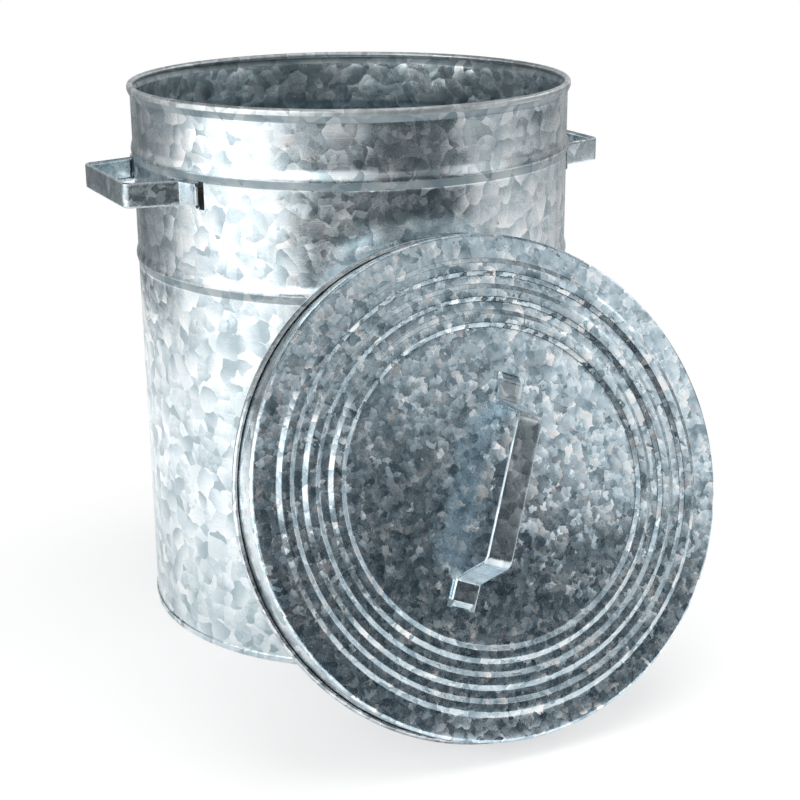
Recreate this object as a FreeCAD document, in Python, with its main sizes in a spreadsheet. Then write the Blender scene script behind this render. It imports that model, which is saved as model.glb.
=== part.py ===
import FreeCAD, Part
import math
import os
import Sketcher

# A round galvanised steel can with two strap handles, and its lid taken off and leant against
# the wall. Millimetres, +Z up, origin at the centre of the foot on the floor. The handles are
# on X. The lid leans on the -Y side.

os.makedirs("parts", exist_ok=True)
doc = FreeCAD.newDocument("TrashCan")
sheet = doc.addObject("Spreadsheet::Sheet", "Sizes")

DRIVING_SIZES = [
    # the can
    ("wall_radius", 165.0),
    ("can_height", 412.0),
    ("steel", 0.7),
    ("upper_bead_drop", 48.5),
    ("bead_spacing", 80.0),
    ("bead_width", 13.0),
    ("bead_rise", 1.8),
    ("bead_crest_round", 9.0),
    ("bead_root_round", 12.0),
    ("seam_width", 9.0),
    ("seam_rise", 0.8),
    # the rolled rim, and the same roll on the lid
    ("wire_radius", 1.2),
    ("wire_gap", 0.3),
    ("roll_flat", 0.2),
    ("rim_step_out", 2.1),
    ("rim_step_drop", 4.0),
    ("rim_step_round", 3.0),
    # the base and its foot
    ("base_lift", 9.0),
    ("base_panel_inset", 24.0),
    ("base_panel_rise", 2.5),
    ("base_round", 3.0),
    ("foot_round", 0.9),
    ("foot_seam_height", 4.5),
    ("joint_gap", 0.15),
    # the strap that all three handles are bent from
    ("strap_width", 18.0),
    ("strap_web", 1.0),
    ("hem_radius", 1.4),
    ("grip_bend", 4.0),
    ("foot_bend", 4.0),
    ("tongue_width", 13.0),
    ("tongue_reach", 11.5),
    ("slot_length", 20.0),
    ("slot_width", 5.0),
    # the side handles
    ("side_top_below_bead", 0.3),
    ("side_standoff", 32.0),
    ("side_grip_half", 47.0),
    ("side_foot_reach", 60.2),
    ("side_foot_length", 18.0),
    ("side_tongue_drop", 5.4),
    # the lid
    ("lid_clearance", 2.1),
    ("lid_skirt_depth", 28.2),
    ("lid_edge_round", 2.6),
    ("lid_crown", 3.2),
    ("lid_crown_flat", 34.0),
    ("crown_margin", 2.0),
    ("lid_crown_blend", 600.0),
    ("ridge_inset", 23.1),
    ("ridge_pitch", 17.4),
    ("ridge_width", 12.0),
    ("ridge_slope", 3.2),
    ("ridge_rise", 1.8),
    ("ridge_round", 1.6),
    ("lid_standoff", 46.0),
    ("lid_grip_half", 50.5),
    ("lid_foot_start", 59.9),
    ("lid_foot_length", 15.4),
    ("lid_tongue_drop", 4.8),
    ("lid_handle_angle", 22.9),
    ("lid_handle_along", 5.4),
    ("lid_handle_across", 6.0),
    # how the lid leans
    ("lean_angle", 21.4),
    ("lean_side_angle", 4.3),
    ("lean_gap", 0.3),
]

RIDGES = 3

for row, (alias, number) in enumerate(DRIVING_SIZES, start=1):
    sheet.set("A%d" % row, alias)
    sheet.set("B%d" % row, str(number))
    sheet.setAlias("B%d" % row, alias)
doc.recompute()


class Size:
    # A length or an angle in degrees, together with the expression that ties it to the sheet.
    def __init__(self, value, text):
        self.value = float(value)
        self.text = text

    def __add__(self, other):
        other = asSize(other)
        return Size(self.value + other.value, "(%s + %s)" % (self.text, other.text))

    def __sub__(self, other):
        other = asSize(other)
        return Size(self.value - other.value, "(%s - %s)" % (self.text, other.text))

    def __mul__(self, other):
        other = asSize(other)
        return Size(self.value * other.value, "(%s * %s)" % (self.text, other.text))

    def __truediv__(self, other):
        other = asSize(other)
        return Size(self.value / other.value, "(%s / %s)" % (self.text, other.text))

    def __neg__(self):
        return Size(-self.value, "(-1 * %s)" % self.text)

    def __radd__(self, other):
        return asSize(other) + self

    def __rsub__(self, other):
        return asSize(other) - self

    def __rmul__(self, other):
        return asSize(other) * self


def asSize(number):
    if isinstance(number, Size):
        return number
    return Size(number, repr(float(number)))


def size(alias):
    return Size(sheet.get(alias), "Sizes." + alias)


def root(square):
    return Size(math.sqrt(square.value), "sqrt(%s)" % square.text)


def sine(angle):
    return Size(math.sin(math.radians(angle.value)), "sin(%s * 1 deg)" % angle.text)


def cosine(angle):
    return Size(math.cos(math.radians(angle.value)), "cos(%s * 1 deg)" % angle.text)


ZERO = asSize(0)

wallRadius = size("wall_radius")
canHeight = size("can_height")
steel = size("steel")
jointGap = size("joint_gap")
strapWidth = size("strap_width")
hemRadius = size("hem_radius")
strapWeb = size("strap_web")

# A roll of sheet round a wire: the space inside it, and its outside.
rollInside = size("wire_radius") + size("wire_gap")
rollOutside = rollInside + steel
rollAcross = rollOutside * 2 + size("roll_flat")

# The lid's skirt passes outside the can's rim.
rimRadius = wallRadius + size("rim_step_out")
skirtInside = rimRadius + size("lid_clearance")
skirtOutside = skirtInside + steel
lidRollCentre = skirtOutside + rollAcross / 2 - steel
lidRollHeight = -size("lid_skirt_depth")

# A slot's cutter passes well beyond both faces of the sheet.
slotCutDepth = steel * 8

# The ridges are set in from the skirt, and the crown ends inside the innermost one.
lastRidge = skirtOutside - size("ridge_inset")
firstRidge = lastRidge - size("ridge_pitch") * (RIDGES - 1)
crownRadius = firstRidge - size("ridge_width") / 2 - size("crown_margin")

# The beads are set down from the rim, and the side handles from the upper bead.
upperBead = canHeight - size("upper_bead_drop")
lowerBead = upperBead - size("bead_spacing")
sideStrapMiddle = upperBead - size("bead_width") / 2 - size("side_top_below_bead") - strapWidth / 2


# ---------------------------------------------------------------- sketch helpers

def tiePoint(sketch, geometry, position, x, y):
    # Fixes one point of a sketch at x, y.
    for kind, axis, coordinate in (("DistanceX", -2, x), ("DistanceY", -1, y)):
        if abs(coordinate.value) < 1e-9:
            sketch.addConstraint(Sketcher.Constraint("PointOnObject", geometry, position, axis))
            continue
        tie = Sketcher.Constraint(kind, -1, 1, geometry, position, coordinate.value)
        number = sketch.addConstraint(tie)
        sketch.setExpression("Constraints[%d]" % number, coordinate.text)


def tieRadius(sketch, geometry, radius):
    number = sketch.addConstraint(Sketcher.Constraint("Radius", geometry, radius.value))
    sketch.setExpression("Constraints[%d]" % number, radius.text)


def drawPath(sketch, start, corners, end):
    # An open line from start to end, with an arc of its own radius at each corner.
    places = [start] + [(x, y) for x, y, radius in corners] + [end]
    points = [FreeCAD.Vector(x.value, y.value, 0) for x, y in places]
    entries, leaves, arcs = [points[0]], [], []
    for before, corner, after, (x, y, radius) in zip(points, points[1:], points[2:], corners):
        inward = (corner - before).normalize()
        outward = (after - corner).normalize()
        turn = math.atan2(inward.x * outward.y - inward.y * outward.x, inward.dot(outward))
        setback = radius.value * math.tan(abs(turn) / 2)
        side = math.copysign(1.0, turn)
        first = corner - inward * setback
        centre = first + FreeCAD.Vector(-inward.y, inward.x, 0) * side * radius.value
        leaves.append(first)
        entries.append(corner + outward * setback)
        arcs.append((centre, radius, inward, turn, side))
    leaves.append(points[-1])
    lines = [sketch.addGeometry(Part.LineSegment(a, b)) for a, b in zip(entries, leaves)]
    tiePoint(sketch, lines[0], 1, *start)
    tiePoint(sketch, lines[-1], 2, *end)
    for index, (centre, radius, inward, turn, side) in enumerate(arcs):
        begin = math.atan2(-inward.x * side, inward.y * side)
        low, high = (begin, begin + turn) if turn > 0 else (begin + turn, begin)
        circle = Part.Circle(centre, FreeCAD.Vector(0, 0, 1), radius.value)
        arc = sketch.addGeometry(Part.ArcOfCircle(circle, low, high))
        mark = sketch.addGeometry(Part.Point(points[index + 1]), True)
        meets, leads = (1, 2) if turn > 0 else (2, 1)
        sketch.addConstraint([
            Sketcher.Constraint("Tangent", lines[index], 2, arc, meets),
            Sketcher.Constraint("Tangent", arc, leads, lines[index + 1], 1),
            Sketcher.Constraint("PointOnObject", mark, 1, lines[index]),
            Sketcher.Constraint("PointOnObject", mark, 1, lines[index + 1]),
        ])
        tieRadius(sketch, arc, radius)
        tiePoint(sketch, mark, 1, *places[index + 1])


def drawLoop(sketch, places):
    # A closed outline of straight lines.
    points = [FreeCAD.Vector(x.value, y.value, 0) for x, y in places]
    lines = []
    for first, second in zip(points, points[1:] + points[:1]):
        lines.append(sketch.addGeometry(Part.LineSegment(first, second)))
    for index, line in enumerate(lines):
        following = lines[(index + 1) % len(lines)]
        sketch.addConstraint(Sketcher.Constraint("Coincident", line, 2, following, 1))
        tiePoint(sketch, line, 1, *places[index])


def bind(item, name, amount):
    setattr(item, name, amount.value)
    item.setExpression(name, amount.text)


def uprightSketch(name):
    # A sketch whose x is the radius and whose y is the height.
    sketch = doc.addObject("Sketcher::SketchObject", name)
    turn = FreeCAD.Rotation(FreeCAD.Vector(1, 0, 0), 90)
    sketch.Placement = FreeCAD.Placement(FreeCAD.Vector(), turn)
    return sketch


def spunSheet(name, start, corners, end, thickness):
    # Sheet of one thickness spun round Z. The path is one face, the other lies to its left.
    face = uprightSketch(name + "Path")
    drawPath(face, start, corners, end)
    section = doc.addObject("Part::Offset2D", name + "Section")
    section.Source = face
    section.Mode = "Skin"
    section.Join = "Intersection"
    section.Fill = True
    bind(section, "Value", thickness)
    spun = doc.addObject("Part::Revolution", name + "Spun")
    spun.Source = section
    spun.Axis = FreeCAD.Vector(0, 0, 1)
    spun.Base = FreeCAD.Vector(0, 0, 0)
    spun.Angle = 360
    spun.Solid = True
    return spun


def ring(name, radius, wire):
    torus = doc.addObject("Part::Torus", name)
    bind(torus, "Radius1", radius)
    bind(torus, "Radius2", wire)
    return torus


def slotCutter(name, place):
    # A box centred on its own origin: x through the sheet, y along the foot, z across it.
    depth, width, length = slotCutDepth, size("slot_width"), size("slot_length")
    box = doc.addObject("Part::Box", name)
    bind(box, "Length", depth)
    bind(box, "Width", width)
    bind(box, "Height", length)
    centre = FreeCAD.Vector(depth.value, width.value, length.value) * -0.5
    box.Placement = place * FreeCAD.Placement(centre, FreeCAD.Rotation())
    return box


def cutBy(name, base, cutters):
    tools = doc.addObject("Part::MultiFuse", name + "Slots")
    tools.Shapes = cutters
    cut = doc.addObject("Part::Cut", name)
    cut.Base = base
    cut.Tool = tools
    return cut


def about(axis, degrees):
    return FreeCAD.Placement(FreeCAD.Vector(), FreeCAD.Rotation(axis, degrees))


X, Y, Z = FreeCAD.Vector(1, 0, 0), FreeCAD.Vector(0, 1, 0), FreeCAD.Vector(0, 0, 1)


# ---------------------------------------------------------------- the can's wall

def beadCorners(face):
    # Two swaged beads round the wall, from the bottom up.
    half = size("bead_width") / 2
    crest, root = size("bead_crest_round"), size("bead_root_round")
    corners = []
    for middle in (lowerBead, upperBead):
        corners.append((face, middle - half, root))
        corners.append((face + size("bead_rise"), middle, crest))
        corners.append((face, middle + half, root))
    return corners


def canWall():
    top = canHeight
    bottom = steel + jointGap
    stepTop = top - rollAcross - size("wire_gap")
    stepFoot = stepTop - size("rim_step_drop")
    outer = rimRadius
    inner = rimRadius - rollAcross
    under = top - rollAcross
    corners = beadCorners(wallRadius) + [
        (wallRadius, stepFoot, size("rim_step_round")),
        (outer, stepTop, size("rim_step_round")),
        (outer, top, rollOutside),
        (inner, top, rollOutside),
        (inner, under, rollOutside),
    ]
    start = (wallRadius, bottom)
    end = (outer - steel * 2 - size("wire_gap"), under)
    return spunSheet("WallSheet", start, corners, end, steel)


def wallSeam():
    # The lock seam where the rolled sheet meets itself, at the back of the can.
    foot = size("foot_seam_height") + size("wire_gap")
    head = canHeight - rollOutside * 2 - size("rim_step_drop") - size("rim_step_round") * 2
    start = (wallRadius - steel / 2, foot)
    end = (wallRadius - steel / 2, head)
    seam = spunSheet("Seam", start, beadCorners(wallRadius - steel / 2), end,
                     -(size("seam_rise") + steel / 2))
    bind(seam, "Angle", size("seam_width") / wallRadius * (180 / math.pi))
    seam.Placement = about(Z, 90 - seam.Angle / 2)
    return seam


def wallSlots():
    # Two slots at each handle, at the outer end of each foot.
    cutters = []
    for side, turn in (("Left", 180), ("Right", 0)):
        for end, mirror in (("Near", -1), ("Far", 1)):
            sineOfFoot = size("side_foot_reach").value / (wallRadius + jointGap).value
            place = about(Z, turn + mirror * math.degrees(math.asin(sineOfFoot)))
            reach = (size("side_foot_length") + size("slot_width")) / 2
            middle = FreeCAD.Vector(wallRadius.value, reach.value * mirror, sideStrapMiddle.value)
            place = place * FreeCAD.Placement(middle, FreeCAD.Rotation())
            name = "Slot" + side + end
            cutters.append(slotCutter(name, place))
    return cutters


# ---------------------------------------------------------------- the can's base

def canBase():
    # A flat bottom with one pressed step, set up inside the wall. Its flange runs down inside
    # the wall, turns under the wall's edge as the foot and comes up outside it.
    inside = wallRadius - steel * 2 - jointGap
    outside = wallRadius + jointGap + steel
    panel = inside - size("base_panel_inset")
    step = size("base_panel_rise")
    lift = size("base_lift")
    corners = [
        (panel, lift + step, size("base_round")),
        (panel + step, lift, size("base_round")),
        (inside - steel, lift, size("base_round")),
        (inside - steel, ZERO, size("foot_round")),
        (outside, ZERO, size("foot_round")),
    ]
    return spunSheet("Base", (ZERO, lift + step), corners, (outside, size("foot_seam_height")), steel)


# ---------------------------------------------------------------- the lid's pan

def lidPan():
    # Crowned middle, three pressed ridges, an upright skirt and an edge rolled outward.
    # Heights are measured from the flat of the lid between its ridges.
    crown = size("lid_crown")
    corners = [
        (size("lid_crown_flat"), crown, size("lid_crown_blend")),
        (crownRadius, ZERO, size("lid_edge_round")),
    ]
    slope, rise, rounding = size("ridge_slope"), size("ridge_rise"), size("ridge_round")
    half = size("ridge_width") / 2
    for index in range(RIDGES):
        middle = firstRidge + size("ridge_pitch") * index
        corners += [
            (middle - half, ZERO, rounding),
            (middle - half + slope, rise, rounding),
            (middle + half - slope, rise, rounding),
            (middle + half, ZERO, rounding),
        ]
    reach = rollAcross / 2 - steel
    outer, bottom, top = lidRollCentre + reach, lidRollHeight - reach, lidRollHeight + reach
    corners += [
        (skirtOutside, ZERO, size("lid_edge_round")),
        (skirtOutside, bottom, rollInside),
        (outer, bottom, rollInside),
        (outer, top, rollInside),
    ]
    end = (skirtOutside + steel + size("wire_gap"), corners[-1][1])
    return spunSheet("PanSheet", (ZERO, crown), corners, end, -steel)


# ---------------------------------------------------------------- the strap handles

def planeOf(body, role):
    for feature in body.Origin.OriginFeatures:
        if feature.Role == role:
            return feature


def bodySketch(body, name, role, place=FreeCAD.Placement()):
    sketch = body.newObject("Sketcher::SketchObject", name)
    sketch.AttachmentSupport = (planeOf(body, role), "")
    sketch.MapMode = "FlatFace"
    sketch.AttachmentOffset = place
    return sketch


def drawStrapSection(sketch, seat):
    # A flat web with each edge rolled in towards the can. The seat is where the rolls lie.
    level = strapWidth / 2 - hemRadius
    outside = seat + hemRadius * 2
    inside = outside - strapWeb
    radius, beyond = hemRadius.value, hemRadius.value - strapWeb.value
    inset = math.sqrt(radius ** 2 - beyond ** 2)
    meeting = math.atan2(-inset, beyond)
    reach = level.value - inset
    up = FreeCAD.Vector(0, 0, 1)
    front = sketch.addGeometry(Part.LineSegment(
        FreeCAD.Vector(outside.value, -level.value, 0), FreeCAD.Vector(outside.value, level.value, 0)))
    back = sketch.addGeometry(Part.LineSegment(
        FreeCAD.Vector(inside.value, -reach, 0), FreeCAD.Vector(inside.value, reach, 0)))
    highCircle = Part.Circle(FreeCAD.Vector(seat.value + radius, level.value, 0), up, radius)
    lowCircle = Part.Circle(FreeCAD.Vector(seat.value + radius, -level.value, 0), up, radius)
    high = sketch.addGeometry(Part.ArcOfCircle(highCircle, 0, 2 * math.pi + meeting))
    low = sketch.addGeometry(Part.ArcOfCircle(lowCircle, -meeting, 2 * math.pi))
    sketch.addConstraint([
        Sketcher.Constraint("Coincident", front, 2, high, 1),
        Sketcher.Constraint("Coincident", back, 2, high, 2),
        Sketcher.Constraint("Coincident", front, 1, low, 2),
        Sketcher.Constraint("Coincident", back, 1, low, 1),
        Sketcher.Constraint("Horizontal", high, 1, high, 3),
        Sketcher.Constraint("Horizontal", low, 2, low, 3),
        Sketcher.Constraint("Vertical", back),
    ])
    tiePoint(sketch, high, 3, seat + hemRadius, level)
    tiePoint(sketch, low, 3, seat + hemRadius, -level)
    tieRadius(sketch, high, hemRadius)
    tieRadius(sketch, low, hemRadius)
    number = sketch.addConstraint(Sketcher.Constraint("DistanceX", -1, 1, back, 1, inside.value))
    sketch.setExpression("Constraints[%d]" % number, inside.text)


def strapHandle(label, seat, half, bend, tip, drop):
    # Half the strap is swept from the middle of the grip, out to the leg and along the foot,
    # gets the flat tongue that dips through the slot, and is mirrored.
    # x is the stand-off from the seat's side, y runs along the handle and z across the strap.
    body = doc.addObject("PartDesign::Body", label)
    path = bodySketch(body, label + "_path", "XY_Plane")
    corners = [(seat, half, size("grip_bend")), (bend[0], bend[1], size("foot_bend"))]
    drawPath(path, (seat, ZERO), corners, tip)
    section = bodySketch(body, label + "_section", "XZ_Plane")
    drawStrapSection(section, seat)
    strap = body.newObject("PartDesign::AdditivePipe", label + "_strap")
    strap.Profile = section
    strap.Spine = path
    doc.recompute()
    ahead = FreeCAD.Vector(tip[0].value - bend[0].value, tip[1].value - bend[1].value, 0)
    turn = FreeCAD.Rotation(Y, ahead)
    place = FreeCAD.Placement(FreeCAD.Vector(tip[0].value, tip[1].value, 0), turn)
    profile = bodySketch(body, label + "_tongue_profile", "XY_Plane", place)
    reach = size("tongue_reach")
    outer = hemRadius * 2
    inner = outer - strapWeb
    rootOverlap = -strapWeb * 2
    drawLoop(profile, [
        (inner, rootOverlap),
        (outer, rootOverlap),
        (outer, strapWeb / 2),
        (outer - drop, strapWeb / 2 + drop),
        (outer - drop, reach),
        (inner - drop, reach),
        (inner - drop, drop),
        (inner, ZERO),
    ])
    tongue = body.newObject("PartDesign::Pad", label + "_tongue")
    tongue.Profile = profile
    bind(tongue, "Length", size("tongue_width"))
    tongue.Midplane = True
    mirrored = body.newObject("PartDesign::Mirrored", label + "_mirrored")
    mirrored.Originals = [strap, tongue]
    mirrored.MirrorPlane = (planeOf(body, "XZ_Plane"), "")
    body.Tip = mirrored
    return body


def sideHandle(label):
    # Each foot lies along the wall where its middle touches.
    radius = wallRadius + jointGap
    along = size("side_foot_reach") / radius
    across = root(1 - along * along)
    half = size("side_foot_length") / 2
    bend = (radius * across + half * along, radius * along - half * across)
    tip = (radius * across - half * along, radius * along + half * across)
    seat = wallRadius + size("side_standoff") - hemRadius * 2
    half = size("side_grip_half") - hemRadius * 2
    return strapHandle(label, seat, half, bend, tip, size("side_tongue_drop"))


def crownHeight(radius):
    # The crown falls in a straight cone outside its middle.
    fall = crownRadius - size("lid_crown_flat")
    return size("lid_crown") * (crownRadius - radius) / fall


def lidHandle(label):
    # The handle sits off the middle of the crown, so its upper foot lies on the higher part.
    start = size("lid_foot_start")
    end = start + size("lid_foot_length")
    along = size("lid_handle_along")
    bend = (crownHeight(start - along) + jointGap, start)
    tip = (crownHeight(end - along) + jointGap, end)
    seat = size("lid_standoff") - hemRadius * 2
    half = size("lid_grip_half") - hemRadius * 2
    return strapHandle(label, seat, half, bend, tip, size("lid_tongue_drop"))


def lidSlots():
    cutters = []
    for name, mirror in (("SlotLidUpper", 1), ("SlotLidLower", -1)):
        reach = size("lid_foot_start") + size("lid_foot_length") + size("slot_width") / 2
        height = crownHeight(reach)
        middle = FreeCAD.Vector(height.value, reach.value * mirror, 0)
        place = lidHandlePlace * FreeCAD.Placement(middle, FreeCAD.Rotation())
        cutters.append(slotCutter(name, place))
    return cutters


# ---------------------------------------------------------------- where things stand

# The lid handle stands off along the lid's axis. It is turned from the lid's upright line and
# sits off the lid's centre.
offCentre = FreeCAD.Vector(-size("lid_handle_across").value, -size("lid_handle_along").value, 0)
lidHandlePlace = (about(Z, -size("lid_handle_angle").value)
                  * FreeCAD.Placement(offCentre, FreeCAD.Rotation()) * about(Y, -90))


def leaningPlace():
    # The lid stands on its rolled edge and touches the can's wall with the top of that edge.
    tilt = size("lean_angle")
    roll = rollOutside + size("roll_flat") / 2 * (sine(tilt) + cosine(tilt))
    reach = wallRadius + size("lean_gap") + roll + lidRollCentre * sine(tilt)
    out = reach - lidRollHeight * cosine(tilt)
    high = roll + lidRollCentre * cosine(tilt) - lidRollHeight * sine(tilt)
    foot = FreeCAD.Vector(0, -out.value, high.value)
    upright = FreeCAD.Placement(foot, FreeCAD.Rotation(X, 90 - tilt.value))
    return about(Z, -size("lean_side_angle").value) * upright


def lift(item, height):
    item.Placement.Base = FreeCAD.Vector(0, 0, height.value)
    item.setExpression("Placement.Base.z", height.text)


wallBlank = doc.addObject("Part::Fuse", "WallBlank")
wallBlank.Base = canWall()
wallBlank.Tool = wallSeam()
canWallCut = cutBy("can_wall", wallBlank, wallSlots())
rimWire = ring("can_rim_wire", rimRadius - rollAcross / 2, size("wire_radius"))
lift(rimWire, canHeight - rollAcross / 2)
base = canBase()
base.Label = "can_base"

handleRight = sideHandle("handle_right")
lift(handleRight, sideStrapMiddle)
handleLeft = sideHandle("handle_left")
handleLeft.Placement = about(Z, 180)
lift(handleLeft, sideStrapMiddle)

lidPlace = leaningPlace()
lidPanCut = cutBy("lid_pan", lidPan(), lidSlots())
lidPanCut.Placement = lidPlace
lidWire = ring("lid_rim_wire", lidRollCentre, size("wire_radius"))
lidWire.Placement = lidPlace * FreeCAD.Placement(Z * lidRollHeight.value, FreeCAD.Rotation())
handleOnLid = lidHandle("lid_handle")
handleOnLid.Placement = lidPlace * lidHandlePlace

doc.recompute()

PIECES = [canWallCut, rimWire, base, handleLeft, handleRight, lidPanCut, lidWire, handleOnLid]

for item in doc.Objects:
    if "Invalid" in item.State or "Error" in item.State:
        raise RuntimeError("%s did not build: %s" % (item.Name, item.State))
for piece in PIECES:
    shape = piece.Shape
    if shape.isNull() or not shape.isValid() or len(shape.Solids) != 1:
        raise RuntimeError("%s is not one sound solid" % piece.Label)
for piece in PIECES:
    piece.Shape.exportStep("parts/%s.step" % piece.Label)
    print("%-14s %9.0f mm3" % (piece.Label, piece.Shape.Volume))
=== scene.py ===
import bpy
import bmesh
import math
import numpy as np
from mathutils import Matrix, Vector


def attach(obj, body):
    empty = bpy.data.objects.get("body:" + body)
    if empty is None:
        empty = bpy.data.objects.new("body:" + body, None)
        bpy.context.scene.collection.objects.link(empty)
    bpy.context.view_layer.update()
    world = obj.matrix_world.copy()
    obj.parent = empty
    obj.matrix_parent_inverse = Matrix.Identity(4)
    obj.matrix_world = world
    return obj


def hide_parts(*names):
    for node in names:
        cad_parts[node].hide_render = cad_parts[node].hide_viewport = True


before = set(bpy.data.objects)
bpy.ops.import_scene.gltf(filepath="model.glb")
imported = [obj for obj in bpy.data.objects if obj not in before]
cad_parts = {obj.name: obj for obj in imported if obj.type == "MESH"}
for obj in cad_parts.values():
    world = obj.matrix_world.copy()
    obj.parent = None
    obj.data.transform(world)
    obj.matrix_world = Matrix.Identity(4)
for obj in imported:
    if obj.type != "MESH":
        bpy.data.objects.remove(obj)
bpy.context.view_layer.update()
print("frame loaded")

mm = 0.001  # lengths below are in millimetres where no note says otherwise


# shader wiring: a wire is one output socket, and plain maths on wires adds Math nodes

class Wire:
    def __init__(self, finish, socket):
        self.finish = finish
        self.socket = socket

    def __getitem__(self, name):
        return Wire(self.finish, self.socket.node.outputs[name])

    def math(self, operation, first, second):
        return self.finish.add("ShaderNodeMath", {"operation": operation}, {0: first, 1: second})

    def __add__(self, other):
        return self.math("ADD", self, other)

    def __sub__(self, other):
        return self.math("SUBTRACT", self, other)

    def __mul__(self, other):
        return self.math("MULTIPLY", self, other)

    def __radd__(self, other):
        return self.math("ADD", other, self)

    def __rsub__(self, other):
        return self.math("SUBTRACT", other, self)

    def __rmul__(self, other):
        return self.math("MULTIPLY", other, self)

    def orMore(self, other):
        return self.math("MAXIMUM", self, other)


class Finish:
    # a node tree being filled, for a material or for the world
    def __init__(self, owner):
        owner.use_nodes = True
        self.tree = owner.node_tree
        self.tree.nodes.clear()

    def add(self, kind, settings=None, sockets=None, output=0):
        node = self.tree.nodes.new(kind)
        for key, value in (settings or {}).items():
            if key == "stops":  # a ramp starts with two, which become the first and the last
                ramp = node.color_ramp
                for place, colour in value[1:-1]:
                    ramp.elements.new(place).color = colour
                for end in (0, -1):
                    ramp.elements[end].position, ramp.elements[end].color = value[end]
            else:
                setattr(node, key, value)
        for key, value in (sockets or {}).items():
            target = node.inputs[key]
            if isinstance(value, Wire):
                self.tree.links.new(value.socket, target)
            else:
                target.default_value = value
        return Wire(self, node.outputs[output]) if node.outputs else None

    def vector(self, operation, first, second=(0, 0, 0), scale=1.0):
        output = "Value" if operation in ("DOT_PRODUCT", "LENGTH") else "Vector"
        return self.add("ShaderNodeVectorMath", {"operation": operation},
                        {0: first, 1: second, 3: scale}, output)

    def noise(self, spot, scale, detail, rough=0.5, output=0):
        return self.add("ShaderNodeTexNoise", {"noise_dimensions": "3D"},
                        {"Vector": spot, "Scale": scale, "Detail": detail, "Roughness": rough}, output)

    def ramp(self, factor, stops):
        return self.add("ShaderNodeValToRGB", {"stops": stops}, {0: factor})

    def spread(self, value, low, high, newLow=0.0, newHigh=1.0):
        return self.add("ShaderNodeMapRange", {"interpolation_type": "SMOOTHSTEP"},
                        {0: value, 1: low, 2: high, 3: newLow, 4: newHigh})


def grey(level):
    return (level, level, level, 1)


# outlines

arcStep = 11  # degrees between points round a corner
tiny = 1e-6  # a length under this counts as none


def roundedPath(start, corners, end, step, levels=()):
    # a line with a rounded corner at each (x, y, radius), and a point at each of the levels
    places = [np.array(p[:2], float) for p in [start] + list(corners) + [end]]
    radii = [radius for *place, radius in corners]
    points = [places[0]]
    for before, corner, after, radius in zip(places, places[1:], places[2:], radii):
        inward = (corner - before) / np.linalg.norm(corner - before)
        outward = (after - corner) / np.linalg.norm(after - corner)
        turn = math.atan2(inward[0] * outward[1] - inward[1] * outward[0], float(inward @ outward))
        side = math.copysign(1, turn)
        first = corner - inward * radius * math.tan(abs(turn) / 2)
        centre = first + np.array([-inward[1], inward[0]]) * side * radius
        count = max(2, math.ceil(abs(turn) / math.radians(arcStep)))
        for part in np.linspace(0, turn, count + 1):
            spin = np.array([[math.cos(part), -math.sin(part)], [math.sin(part), math.cos(part)]])
            points.append(centre + spin @ (first - centre))
    points.append(places[-1])
    filled = [points[0]]
    for a, b in zip(points, points[1:]):
        length = np.linalg.norm(b - a)
        if length < tiny:
            continue
        parts = set(np.linspace(0, 1, math.ceil(length / step) + 1)[1:])
        rise = b[1] - a[1]
        between = [(level - a[1]) / rise for level in levels if abs(rise) > tiny]
        parts.update(part for part in between if tiny < part < 1 - tiny)
        filled += [a + (b - a) * part for part in sorted(parts)]
    return np.array(filled)


def leftOf(points):
    # the unit vector to the left of the line at each point
    ahead = np.diff(points, axis=0)
    ahead /= np.linalg.norm(ahead, axis=1)[:, None]
    both = np.vstack([ahead[:1], ahead[:-1] + ahead[1:], ahead[-1:]])
    both /= np.linalg.norm(both, axis=1)[:, None]
    return np.column_stack([-both[:, 1], both[:, 0]])


def alongLine(points):
    # how far along the line each point is
    steps = np.linalg.norm(np.diff(points, axis=0), axis=1)
    return np.concatenate([[0], np.cumsum(steps)])


# meshes

weld = 2e-6  # metres, under which two points become one
sharpAngle = 40  # degrees, over which an edge shows as sharp
unrollRadius = 165.0  # the sheets' texture coordinates run round at this radius
nearestColumn = 0.25  # degrees kept free on each side of a slot's or seam's edge


def makePiece(name, verts, faces, uvs, groups, materials, place=None):
    # millimetres in, one object in metres out, with its place in its vertices
    mesh = bpy.data.meshes.new(name)
    mesh.from_pydata((np.asarray(verts) * mm).tolist(), [], faces)
    layer = mesh.uv_layers.new(name="sheet")
    layer.data.foreach_set("uv", (np.array(uvs) * mm).ravel())
    mesh.polygons.foreach_set("material_index", groups)
    for material in materials:
        mesh.materials.append(material)
    work = bmesh.new()
    work.from_mesh(mesh)
    bmesh.ops.remove_doubles(work, verts=work.verts, dist=weld)
    bmesh.ops.recalc_face_normals(work, faces=work.faces)
    if place is not None:
        work.transform(place)
    for face in work.faces:
        face.smooth = True
    work.to_mesh(mesh)
    work.free()
    mesh.set_sharp_from_angle(angle=math.radians(sharpAngle))
    piece = bpy.data.objects.new(name, mesh)
    bpy.context.collection.objects.link(piece)
    return piece


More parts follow.
